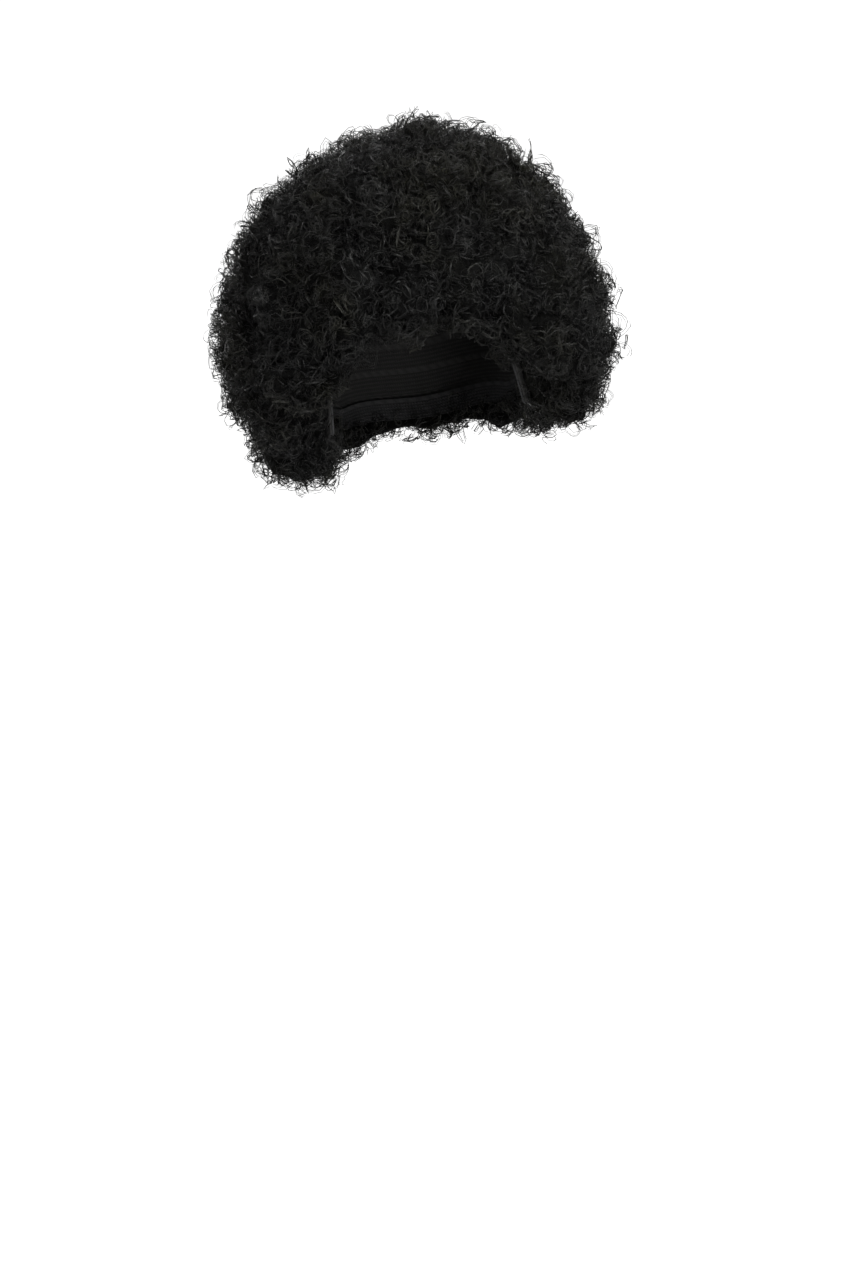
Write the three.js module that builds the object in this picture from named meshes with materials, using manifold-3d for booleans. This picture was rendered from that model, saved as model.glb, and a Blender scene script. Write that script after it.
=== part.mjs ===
// An afro wig: a stretch cap with an elastic rim band, covered by six sections of curled hair.
// Millimetres, +Z up, the face opening towards -Y. The origin is where the crown of the head
// meets the inside of the cap, and the wearer's left is towards +X.
import * as THREE from "three";
import { mergeVertices } from "three/addons/utils/BufferGeometryUtils.js";
import Module from "manifold-3d";

const wasm = await Module();
wasm.setup();

// The head that the cap is cut for
const HEAD_WIDTH = 152;
const HEAD_LENGTH = 192;
const HEAD_RISE = 88; // widest level up to the crown
const HEAD_TAPER_DEPTH = 150; // widest level down to where the narrowing form would close
const HEAD_FULLNESS = 2.2; // 2 is a plain ellipse, more is squarer
const HEAD_TAPER_FULLNESS = 2;

// The cap and the elastic band inside its rim
const CAP_WALL = 1.6;
const CAP_DEPTH = 158; // crown down to the rim at the nape
const BAND_WALL = 1.2;
const BAND_WIDTH = 14;
const SEAT_CLEARANCE = 0.3; // between pieces that are sewn to each other

// The hair, as it stands off the head
const HAIR_ABOVE = 62;
const HAIR_BESIDE = 59;
const HAIR_AHEAD = 45;
const HAIR_BEHIND = 46;
const HAIR_WIDEST_LEVEL = 75; // below the crown
const HAIR_ROUNDING_DEPTH = 121; // widest level down to where the outline would close
const HAIR_DEPTH = 161; // crown down to the lowest backing
const UPPER_FULLNESS = 2;
const LOWER_FULLNESS = 2.6;

// The locks that stand out of each section's backing
const OUTER_LOCKS = 110;
const LOCK_RADIUS = 21;
const LOCK_ROOT = 15; // length sunk in the backing
const LOCK_STAND = 12; // length that shows
const LOCK_SIDES = 7;

// Where one hair section ends and the next begins: levels, and angles from the forehead and nape
const CROWN_LEVEL = -22;
const NAPE_LEVEL = -98;
const FRONT_HALF = 50;
const BACK_HALF = 48;

// How finely the round forms are faceted
const FORM_SIDES = 24;
const FORM_RINGS = 10;
const EDGE_SIDES = 36;

// Where an edge cutter's section has its corners, by share of the way from the head's outline out
// to the hair's
const RIM_SHARES = [-0.75, 1];
const UNDERSIDE_SHARES = [-0.75, 0, 0.6, 1, 4];

// How closely a surface is searched for, in millimetres and in shares of the way out
const SURFACE_STEP = 1.2;
const UNDERSIDE_STEP = 0.02;

const REACH = 2 * (HEAD_LENGTH + HAIR_AHEAD + HAIR_BEHIND); // past every surface
const GOLDEN_ANGLE = Math.PI * (3 - Math.sqrt(5));
const UP = new THREE.Vector3(0, 0, 1);

// The cap's rim by angle from the middle of the forehead; drop is a share of CAP_DEPTH
const rimRows = [
  { angle: 0, drop: 0.3 },
  { angle: 24, drop: 0.33 },
  { angle: 46, drop: 0.52 },
  { angle: 62, drop: 0.82 },
  { angle: 74, drop: 0.88 },
  { angle: 100, drop: 0.86 },
  { angle: 130, drop: 0.95 },
  { angle: 180, drop: 1 },
];

// The lower edge of the hair's backing by the same angle; drop is a share of HAIR_DEPTH, and
// lift is how far the underside climbs on its way out, as a share of HAIR_BESIDE
const hairEdgeRows = [
  { angle: 0, drop: 0.29, lift: 0.62 },
  { angle: 14, drop: 0.3, lift: 0.62 },
  { angle: 26, drop: 0.34, lift: 0.55 },
  { angle: 38, drop: 0.43, lift: 0.5 },
  { angle: 48, drop: 0.52, lift: 0.4 },
  { angle: 57, drop: 0.64, lift: 0.3 },
  { angle: 66, drop: 0.88, lift: 0.2 },
  { angle: 76, drop: 0.97, lift: 0.12 },
  { angle: 100, drop: 1, lift: 0.1 },
  { angle: 180, drop: 1, lift: 0.2 },
];

// The locks take these shapes in turn; girth and stand are shares of LOCK_RADIUS and LOCK_STAND,
// and sag is how far the lock turns from its own way out towards the ground
const lockShapes = [
  { girth: 1, stand: 1, sag: 0.1 },
  { girth: 0.82, stand: 0.55, sag: 0.3 },
  { girth: 1.08, stand: 0.75, sag: 0.2 },
  { girth: 0.9, stand: 0.95, sag: 0 },
  { girth: 0.98, stand: 0.4, sag: 0.25 },
];

// Rows of locks along the lower edge: across is where on the underside's width, from the head's
// side to the outside, girth is a share of LOCK_RADIUS, and flare is how far they turn outwards
const edgeLockRows = [
  { across: 0.3, count: 17, girth: 0.66, flare: 0 },
  { across: 0.86, count: 20, girth: 0.74, flare: 0.4 },
];

// One lock's outline from root to tip: out is a share of its radius, along a share of its root
// length where negative and of its stand where positive
const lockOutline = [
  { out: 0, along: -1 },
  { out: 1, along: -0.25 },
  { out: 0.7, along: 0.65 },
  { out: 0, along: 1 },
];

// A closed three.js geometry as a solid that can be joined and cut
function solidFrom(geometry) {
  const bare = geometry.clone();
  bare.deleteAttribute("normal");
  bare.deleteAttribute("uv");
  const merged = mergeVertices(bare, 1e-3);
  const mesh = new wasm.Mesh({
    numProp: 3,
    vertProperties: new Float32Array(merged.attributes.position.array),
    triVerts: new Uint32Array(merged.index.array),
  });
  return new wasm.Manifold(mesh);
}

// A lathe turned upright, with each vertex moved by place(point), a point of the unit form
function turnedForm(profile, sides, place) {
  const geometry = new THREE.LatheGeometry(profile, sides);
  const position = geometry.attributes.position;
  const point = new THREE.Vector3();
  for (let i = 0; i < position.count; i += 1) {
    point.fromBufferAttribute(position, i);
    point.set(point.x, -point.z, point.y);
    place(point);
    position.setXYZ(i, point.x, point.y, point.z);
  }
  return solidFrom(geometry);
}

// The head's own form, grown outwards by a given amount
function headEgg(growth) {
  return {
    side: HEAD_WIDTH / 2 + growth,
    front: HEAD_LENGTH / 2 + growth,
    back: HEAD_LENGTH / 2 + growth,
    level: -HEAD_RISE,
    rise: HEAD_RISE + growth,
    drop: HEAD_TAPER_DEPTH,
    upper: HEAD_FULLNESS,
    lower: HEAD_TAPER_FULLNESS,
  };
}

// The hair's overall outline, grown outwards by a given amount
function hairEgg(growth) {
  return {
    side: HEAD_WIDTH / 2 + HAIR_BESIDE + growth,
    front: HEAD_LENGTH / 2 + HAIR_AHEAD + growth,
    back: HEAD_LENGTH / 2 + HAIR_BEHIND + growth,
    level: -HAIR_WIDEST_LEVEL,
    rise: HAIR_WIDEST_LEVEL + HAIR_ABOVE + growth,
    drop: HAIR_ROUNDING_DEPTH + growth,
    upper: UPPER_FULLNESS,
    lower: LOWER_FULLNESS,
  };
}

// An egg as a solid: rounded above its widest level one way, and below it another
function eggSolid(egg) {
  const profile = [];
  for (let ring = 0; ring <= FORM_RINGS; ring += 1) {
    const turn = -Math.PI / 2 + (Math.PI * ring) / FORM_RINGS;
    const power = 2 / (turn < 0 ? egg.lower : egg.upper);
    const out = ring % FORM_RINGS ? Math.cos(turn) ** power : 0;
    const height = Math.sign(turn) * Math.abs(Math.sin(turn)) ** power;
    profile.push(new THREE.Vector2(out, height));
  }
  return turnedForm(profile, FORM_SIDES, (point) => {
    point.x *= egg.side;
    point.y *= point.y < 0 ? egg.front : egg.back;
    point.z = egg.level + point.z * (point.z < 0 ? egg.drop : egg.rise);
  });
}

// Whether a point lies inside an egg
function isInEgg(egg, point) {
  const out = Math.hypot(point.x / egg.side, point.y / (point.y < 0 ? egg.front : egg.back));
  const height = point.z - egg.level;
  const power = height < 0 ? egg.lower : egg.upper;
  return out ** power + Math.abs(height / (height < 0 ? egg.drop : egg.rise)) ** power < 1;
}

// How far from the axis an egg's widest outline is, in a level direction
function outlineRadius(egg, x, y) {
  return 1 / Math.hypot(x / egg.side, y / (y < 0 ? egg.front : egg.back));
}

// The point at an angle from the middle of the forehead, in radians towards +X, and at a share
// of the way out: 0 is the head's outline and 1 is the hair's
function outPoint(turn, share) {
  const way = new THREE.Vector2(HEAD_WIDTH * Math.sin(turn), -HEAD_LENGTH * Math.cos(turn));
  way.normalize();
  const headRadius = outlineRadius(headEgg(0), way.x, way.y);
  const hairRadius = outlineRadius(hairEgg(0), way.x, way.y);
  return way.multiplyScalar(THREE.MathUtils.lerp(headRadius, hairRadius, share));
}

// The angle and the share of the way out of a point
function placeOf(point) {
  const radius = Math.hypot(point.x, point.y);
  const way = { x: point.x / radius, y: point.y / radius };
  const headRadius = outlineRadius(headEgg(0), way.x, way.y);
  const hairRadius = outlineRadius(hairEgg(0), way.x, way.y);
  return {
    turn: Math.atan2(way.x / HEAD_WIDTH, -way.y / HEAD_LENGTH),
    share: (radius - headRadius) / (hairRadius - headRadius),
  };
}

// One column of a table of rows by angle, eased from each row to the next
function columnAt(rows, column, turn) {
  const angle = Math.abs(THREE.MathUtils.radToDeg(Math.atan2(Math.sin(turn), Math.cos(turn))));
  const next = Math.max(1, rows.findIndex((row) => row.angle >= angle));
  const [low, high] = [rows[next - 1], rows[next]];
  const share = THREE.MathUtils.smoothstep(angle, low.angle, high.angle);
  return THREE.MathUtils.lerp(low[column], high[column], share);
}

// Height of the cap's rim at an angle
function rimHeight(turn) {
  return -CAP_DEPTH * columnAt(rimRows, "drop", turn);
}

// Height of the hair's underside: it climbs on its way from the head outwards
function hairEdgeHeight(turn, share) {
  const climb = THREE.MathUtils.clamp(share, 0, 1) ** 2;
  const lift = HAIR_BESIDE * columnAt(hairEdgeRows, "lift", turn);
  return climb * lift - HAIR_DEPTH * columnAt(hairEdgeRows, "drop", turn);
}

// A broad ring round the head whose lower face follows one height and whose upper face another.
// It is turned at 1 plus each share, so that the shares inside the head's outline stay off the axis
function ringBetween(shares, lowerHeight, upperHeight) {
  const lower = shares.map((share) => new THREE.Vector2(1 + share, -1));
  const upper = shares.map((share) => new THREE.Vector2(1 + share, 1)).reverse();
  const profile = [...lower, ...upper, lower[0].clone()];
  return turnedForm(profile, EDGE_SIDES, (point) => {
    const turn = Math.atan2(point.x, -point.y);
    const share = Math.hypot(point.x, point.y) - 1;
    const height = point.z > 0 ? upperHeight : lowerHeight;
    const { x, y } = outPoint(turn, share);
    point.set(x, y, height(turn, share));
  });
}

// The largest body of a solid, without the crumbs that a cut can leave
function mainBody(solid) {
  const bodies = solid.decompose();
  return bodies.reduce((best, body) => (body.volume() > best.volume() ? body : best));
}

// The stretch cap: a thin shell on the head's form, open below its rim
function capSolid() {
  const shell = eggSolid(headEgg(CAP_WALL)).subtract(eggSolid(headEgg(0)));
  return mainBody(shell.subtract(ringBetween(RIM_SHARES, () => -REACH, rimHeight)));
}

// The elastic band: a strip just inside the cap, along its rim
function bandSolid() {
  const outer = eggSolid(headEgg(-SEAT_CLEARANCE));
  const inner = eggSolid(headEgg(-SEAT_CLEARANCE - BAND_WALL));
  const strip = ringBetween(RIM_SHARES, rimHeight, (turn) => rimHeight(turn) + BAND_WIDTH);
  return mainBody(outer.subtract(inner).intersect(strip));
}

// Whether a point is in the hair's backing
function isInBacking(point) {
  const { turn, share } = placeOf(point);
  return (
    isInEgg(hairEgg(-LOCK_STAND), point) &&
    !isInEgg(headEgg(CAP_WALL + SEAT_CLEARANCE), point) &&
    point.z > hairEdgeHeight(turn, share)
  );
}

// Where a line from the middle of the hair leaves the backing, or null where it meets none
function backingSurface(way) {
  const middle = new THREE.Vector3(0, 0, -HAIR_WIDEST_LEVEL);
  const point = new THREE.Vector3();
  for (let out = REACH / 2; out > 0; out -= SURFACE_STEP) {
    point.copy(middle).addScaledVector(way, out);
    if (isInBacking(point)) return point;
  }
  return null;
}

// One lock, its root in the backing and its tip pointing its own way out
function lockSolid(place, way, shape, turn) {
  const profile = lockOutline.map(({ out, along }) => {
    const length = along < 0 ? LOCK_ROOT : LOCK_STAND * shape.stand;
    return new THREE.Vector2(LOCK_RADIUS * shape.girth * out, length * along);
  });
  const tip = way.clone().addScaledVector(UP, -shape.sag).normalize();
  const upright = new THREE.Quaternion().setFromAxisAngle(UP, turn);
  const pose = new THREE.Quaternion().setFromUnitVectors(UP, tip).multiply(upright);
  return turnedForm(profile, LOCK_SIDES, (point) => point.applyQuaternion(pose).add(place));
}

// The locks that are spread evenly over the backing's outside
function outerLocks() {
  const locks = [];
  for (let i = 0; i < OUTER_LOCKS; i += 1) {
    const height = 1 - (2 * (i + 0.5)) / OUTER_LOCKS;
    const out = Math.sqrt(1 - height ** 2);
    const turn = i * GOLDEN_ANGLE;
    const way = new THREE.Vector3(out * Math.cos(turn), out * Math.sin(turn), height);
    const place = backingSurface(way);
    if (place) locks.push(lockSolid(place, way, lockShapes[i % lockShapes.length], turn));
  }
  return locks;
}

// The point of the underside at an angle, across its width
function undersidePoint(turn, across) {
  const pointAt = (share) => {
    const { x, y } = outPoint(turn, share);
    return new THREE.Vector3(x, y, hairEdgeHeight(turn, share));
  };
  const backing = hairEgg(-LOCK_STAND);
  let outermost = 1;
  while (outermost > 0 && !isInEgg(backing, pointAt(outermost))) outermost -= UNDERSIDE_STEP;
  return pointAt(outermost * across);
}

// One row of locks along the backing's lower edge, evenly spaced, turned away from the hair
function edgeLocks({ across, count, girth, flare }) {
  const rail = [];
  for (let i = 0; i < EDGE_SIDES; i += 1) {
    rail.push(undersidePoint((2 * Math.PI * i) / EDGE_SIDES, across));
  }
  const curve = new THREE.CatmullRomCurve3(rail, true);
  return Array.from({ length: count }, (_, i) => {
    const place = curve.getPointAt(i / count);
    const outwards = new THREE.Vector3(place.x, place.y, 0).normalize();
    const way = curve.getTangentAt(i / count).cross(outwards).normalize();
    way.addScaledVector(outwards, flare).normalize();
    const shape = lockShapes[i % lockShapes.length];
    return lockSolid(place, way, { ...shape, girth: shape.girth * girth, sag: 0 }, i * GOLDEN_ANGLE);
  });
}

// The whole head of hair: its backing with every lock fused to it, hollow for the cap
function hairSolid() {
  const backing = eggSolid(hairEgg(-LOCK_STAND));
  const trimmed = backing.subtract(ringBetween(UNDERSIDE_SHARES, () => -REACH, hairEdgeHeight));
  const locks = [...outerLocks(), ...edgeLockRows.flatMap(edgeLocks)];
  const fused = wasm.Manifold.union([trimmed, ...locks]);
  return fused.subtract(eggSolid(headEgg(CAP_WALL + SEAT_CLEARANCE)));
}

// The space that one hair section fills: a wedge between two angles and two levels
function sectionSpace({ middle, half, bottom, top }) {
  const corner = (angle, out) => {
    const turn = THREE.MathUtils.degToRad(angle);
    return new THREE.Vector2(out * Math.sin(turn), -out * Math.cos(turn));
  };
  const corners = [middle - half, middle - half / 2, middle, middle + half / 2, middle + half];
  const outline = [new THREE.Vector2(), ...corners.map((angle) => corner(angle, REACH))];
  const setBack = SEAT_CLEARANCE / 2 / Math.sin(THREE.MathUtils.degToRad(half));
  const shape = new THREE.Shape(outline.map((point) => point.add(corner(middle, setBack))));
  const geometry = new THREE.ExtrudeGeometry(shape, {
    depth: top - bottom - SEAT_CLEARANCE,
    bevelEnabled: false,
  });
  geometry.translate(0, 0, bottom + SEAT_CLEARANCE / 2);
  return solidFrom(geometry);
}

// The crown section's space: all that stands above its level
function crownSpace() {
  const block = new THREE.BoxGeometry(REACH, REACH, REACH);
  block.translate(0, 0, CROWN_LEVEL + SEAT_CLEARANCE / 2 + REACH / 2);
  return solidFrom(block);
}

// The sections below the crown, by the angle of their middles from the forehead
const sideMiddle = (FRONT_HALF + 180 - BACK_HALF) / 2;
const sideHalf = (180 - BACK_HALF - FRONT_HALF) / 2;
const lowerSections = [
  { name: "front_hair", middle: 0, half: FRONT_HALF, bottom: -REACH, top: CROWN_LEVEL },
  { name: "left_side_hair", middle: sideMiddle, half: sideHalf, bottom: -REACH, top: CROWN_LEVEL },
  { name: "right_side_hair", middle: -sideMiddle, half: sideHalf, bottom: -REACH, top: CROWN_LEVEL },
  { name: "back_hair", middle: 180, half: BACK_HALF, bottom: NAPE_LEVEL, top: CROWN_LEVEL },
  { name: "nape_hair", middle: 180, half: BACK_HALF, bottom: -REACH, top: NAPE_LEVEL },
];

const hairFibre = { color: 0x1b1a18, roughness: 0.62, metalness: 0 };
const capKnit = { color: 0x141414, roughness: 0.9, metalness: 0 };
const elastic = { color: 0x1c1c1d, roughness: 0.8, metalness: 0 };

// A solid as a named mesh in its own material
function meshOf(name, solid, finish) {
  const { numProp, vertProperties, triVerts } = solid.getMesh();
  const geometry = new THREE.BufferGeometry();
  const packed = new THREE.InterleavedBuffer(vertProperties, numProp);
  geometry.setAttribute("position", new THREE.InterleavedBufferAttribute(packed, 3, 0));
  geometry.setIndex(new THREE.BufferAttribute(triVerts, 1));
  geometry.computeVertexNormals();
  const mesh = new THREE.Mesh(geometry, new THREE.MeshStandardMaterial(finish));
  mesh.name = name;
  return mesh;
}

const group = new THREE.Group();
group.add(meshOf("wig_cap", capSolid(), capKnit));
group.add(meshOf("rim_band", bandSolid(), elastic));

const hair = hairSolid();
group.add(meshOf("crown_hair", mainBody(hair.intersect(crownSpace())), hairFibre));
for (const section of lowerSections) {
  const solid = mainBody(hair.intersect(sectionSpace(section)));
  group.add(meshOf(section.name, solid, hairFibre));
}

export default group;
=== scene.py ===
"""Dresses the afro wig: six sections of curled hair over a stretch cap and its elastic rim band."""

import logging
import math
from collections.abc import Iterator
from contextlib import contextmanager
from dataclasses import dataclass, field
from enum import Enum, IntEnum

import bpy
import numpy as np
from mathutils import Matrix, Vector


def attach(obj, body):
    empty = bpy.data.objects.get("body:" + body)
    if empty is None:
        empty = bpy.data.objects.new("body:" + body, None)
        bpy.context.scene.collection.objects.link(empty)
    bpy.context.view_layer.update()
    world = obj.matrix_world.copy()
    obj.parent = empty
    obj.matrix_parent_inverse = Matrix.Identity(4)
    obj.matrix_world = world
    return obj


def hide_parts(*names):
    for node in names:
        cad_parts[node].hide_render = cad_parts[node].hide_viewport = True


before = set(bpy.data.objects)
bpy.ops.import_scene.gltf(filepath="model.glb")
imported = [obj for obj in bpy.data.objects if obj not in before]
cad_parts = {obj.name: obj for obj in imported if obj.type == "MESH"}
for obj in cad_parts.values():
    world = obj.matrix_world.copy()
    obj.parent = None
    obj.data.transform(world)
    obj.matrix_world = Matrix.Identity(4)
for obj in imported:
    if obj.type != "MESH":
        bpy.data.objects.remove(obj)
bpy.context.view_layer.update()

log = logging.getLogger("afro wig")

Span = tuple[float, float]
Colour = tuple[float, float, float]

MM = 0.001
UP = Vector((0.0, 0.0, 1.0))
TINY = 1e-6
WELD = 0.01 * MM
CLUMP = 17 * MM
CLUMP_SOFTNESS = 0.4
BAKING_MAP = "OFBake"


class Section(Enum):
    """The hair sections, by the name of the solid that each one stands for."""

    CROWN = "crown_hair"
    FRONT = "front_hair"
    LEFT_SIDE = "left_side_hair"
    RIGHT_SIDE = "right_side_hair"
    BACK = "back_hair"
    NAPE = "nape_hair"


@dataclass(frozen=True)
class Row:
    """One row of a table by angle from the middle of the forehead."""

    angle: float
    drop: float


# Working on objects


def take(*objects: bpy.types.Object) -> None:
    """Selects these objects alone, the first one active.

    Args:
        *objects: What the next operator acts on.
    """
    bpy.ops.object.select_all(action="DESELECT")
    for obj in objects:
        obj.select_set(True)
    bpy.context.view_layer.objects.active = objects[0]


@contextmanager
def editing(obj: bpy.types.Object) -> Iterator[None]:
    """Takes an object into edit mode with all of it selected, and out again.

    Args:
        obj: The mesh object to edit.

    Yields:
        Nothing, while the object is in edit mode.
    """
    take(obj)
    bpy.ops.object.mode_set(mode="EDIT")
    bpy.ops.mesh.select_all(action="SELECT")
    yield
    bpy.ops.object.mode_set(mode="OBJECT")


def apply_modifiers(obj: bpy.types.Object) -> None:
    """Applies every modifier of an object, from the top down.

    Args:
        obj: The object, which is selected alone for it.
    """
    take(obj)
    for modifier in list(obj.modifiers):
        bpy.ops.object.modifier_apply(modifier=modifier.name)


def put_in_scene(name: str, data: bpy.types.ID) -> bpy.types.Object:
    """Makes an object of a mesh, a camera or a light, and links it into the scene.

    Args:
        name: The object's name.
        data: What it shows.

    Returns:
        The new object.
    """
    obj = bpy.data.objects.new(name, data)
    bpy.context.collection.objects.link(obj)
    return obj


def numbers(items: bpy.types.bpy_prop_collection, name: str) -> np.ndarray:
    """Reads one whole number from each loop or polygon of a mesh.

    Args:
        items: The mesh's loops or polygons.
        name: The property to read.

    Returns:
        The numbers in the items' order.
    """
    found = np.zeros(len(items), np.int32)
    items.foreach_get(name, found)
    return found


def triangles(obj: bpy.types.Object) -> int:
    """Counts the triangles of a mesh object."""
    return int((numbers(obj.data.polygons, "loop_total") - 2).sum())


def corners(mesh: bpy.types.Mesh) -> np.ndarray:
    """Reads the places of a mesh's vertices.

    Args:
        mesh: The mesh to read.

    Returns:
        One row for each vertex.
    """
    places = np.zeros(len(mesh.vertices) * 3)
    mesh.vertices.foreach_get("co", places)
    return places.reshape(-1, 3)


def move_corners(mesh: bpy.types.Mesh, places: np.ndarray) -> None:
    """Puts the vertices of a mesh at new places, one row each."""
    mesh.vertices.foreach_set("co", places.ravel())


def write_attribute(mesh: bpy.types.Mesh, name: str, values: np.ndarray) -> None:
    """Writes one number for each vertex, under a name that materials and node trees read."""
    mesh.attributes.new(name, "FLOAT", "POINT").data.foreach_set("value", values)


def ease(low: float, high: float, values: np.ndarray) -> np.ndarray:
    """Eases from 0 at the low value to 1 at the high one."""
    share = np.clip((values - low) / (high - low), 0, 1)
    return share * share * (3 - 2 * share)


# Node trees


class Tree:
    """A node tree with a short way to add and link nodes."""

    def __init__(self, tree: bpy.types.NodeTree) -> None:
        """Takes the tree that the nodes go into."""
        self.tree = tree

    def add(self, kind: str, values: dict | None = None, **settings: object) -> bpy.types.Node:
        """Adds one node.

        Args:
            kind: The node's type name.
            values: Input socket by name or number, to a plain value or to a socket that feeds it.
            **settings: The node's own properties.

        Returns:
            The new node.
        """
        node = self.tree.nodes.new(kind)
        for name, value in settings.items():
            setattr(node, name, value)
        for key, value in (values or {}).items():
            self.feed(node.inputs[key], value)
        return node

    def feed(self, socket: bpy.types.NodeSocket, value: object) -> None:
        """Links a socket to another, or sets its plain value.

        Args:
            socket: The socket that is fed.
            value: The socket that feeds it, or the plain value.
        """
        if isinstance(value, bpy.types.NodeSocket):
            self.tree.links.new(value, socket)
        else:
            socket.default_value = value

    def maths(self, operation: str, first: object, second: object = 0.0,
              third: object = 0.0) -> bpy.types.NodeSocket:
        """Adds a Math node and gives its result."""
        values = {0: first, 1: second, 2: third}
        return self.add("ShaderNodeMath", values, operation=operation).outputs[0]

    def vectors(self, operation: str, first: object, second: object = None,
                scale: object = None) -> bpy.types.NodeSocket:
        """Adds a Vector Math node and gives its vector.

        Args:
            operation: What the node does.
            first: The first vector.
            second: The second vector, where the operation has one.
            scale: The factor of a SCALE.

        Returns:
            The resulting vector's socket.
        """
        values = {0: first}
        if second is not None:
            values[1] = second
        if scale is not None:
            values["Scale"] = scale
        return self.add("ShaderNodeVectorMath", values, operation=operation).outputs[0]

    def mix(self, factor: object, first: object, second: object,
            blend: str = "MIX") -> bpy.types.NodeSocket:
        """Adds a colour Mix node.

        Args:
            factor: How much of the second colour shows.
            first: The first colour, plain or from a socket.
            second: The second colour, likewise.
            blend: The way in which they are blended.

        Returns:
            The mixed colour's socket.
        """
        node = self.add("ShaderNodeMix", {"Factor": factor}, data_type="RGBA", blend_type=blend)
        self.feed(node.inputs[6], first)
        self.feed(node.inputs[7], second)
        return node.outputs[2]

    def noise(self, place: object, scale: float, detail: float = 2.0,
              roughness: float = 0.5) -> bpy.types.Node:
        """Adds a Noise Texture node, its scale in waves a metre."""
        return self.add("ShaderNodeTexNoise", {
            "Vector": place, "Scale": scale, "Detail": detail, "Roughness": roughness})

    def clumps(self, place: object) -> bpy.types.NodeSocket:
        """Adds soft cells of the clumps' size, and gives the distance from each one's middle."""
        return self.add("ShaderNodeTexVoronoi", {
            "Vector": place, "Scale": 1 / CLUMP, "Smoothness": CLUMP_SOFTNESS},
            feature="SMOOTH_F1").outputs["Distance"]

    def ranged(self, value: object, low: float, high: float, to_low: float = 0.0,
               to_high: float = 1.0) -> bpy.types.NodeSocket:
        """Adds a Map Range node, from one span to another, and gives its result."""
        return self.add("ShaderNodeMapRange", {
            "Value": value, "From Min": low, "From Max": high,
            "To Min": to_low, "To Max": to_high}).outputs[0]

    def height(self, place: object) -> bpy.types.NodeSocket:
        """Gives the height of a place."""
        return self.add("ShaderNodeSeparateXYZ", {0: place}).outputs[2]


def socket_named(node: bpy.types.Node, name: str, kind: str) -> bpy.types.NodeSocket:
    """Finds the output of a name and type on a node that has several of that name."""
    return next(s for s in node.outputs if s.name == name and s.type == kind)


def geometry_tree(name: str) -> tuple[Tree, bpy.types.NodeSocket]:
    """Starts a geometry node group that takes one geometry in and puts one out.

    Args:
        name: The group's name.

    Returns:
        The tree, and the socket of the geometry that comes in.
    """
    group = bpy.data.node_groups.new(name, "GeometryNodeTree")
    for way in ("INPUT", "OUTPUT"):
        group.interface.new_socket("Geometry", in_out=way, socket_type="NodeSocketGeometry")
    tree = Tree(group)
    return tree, tree.add("NodeGroupInput").outputs[0]


def run_nodes(obj: bpy.types.Object, tree: Tree, result: bpy.types.NodeSocket) -> None:
    """Puts a tree's result out, and applies the tree to an object.

    Args:
        obj: The object that the nodes change.
        tree: The tree, started by geometry_tree.
        result: The socket of the geometry that comes out.
    """
    tree.add("NodeGroupOutput", {0: result})
    obj.modifiers.new("nodes", "NODES").node_group = tree.tree
    apply_modifiers(obj)


# The head that the wig is cut for, with the sizes of the part's source


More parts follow.
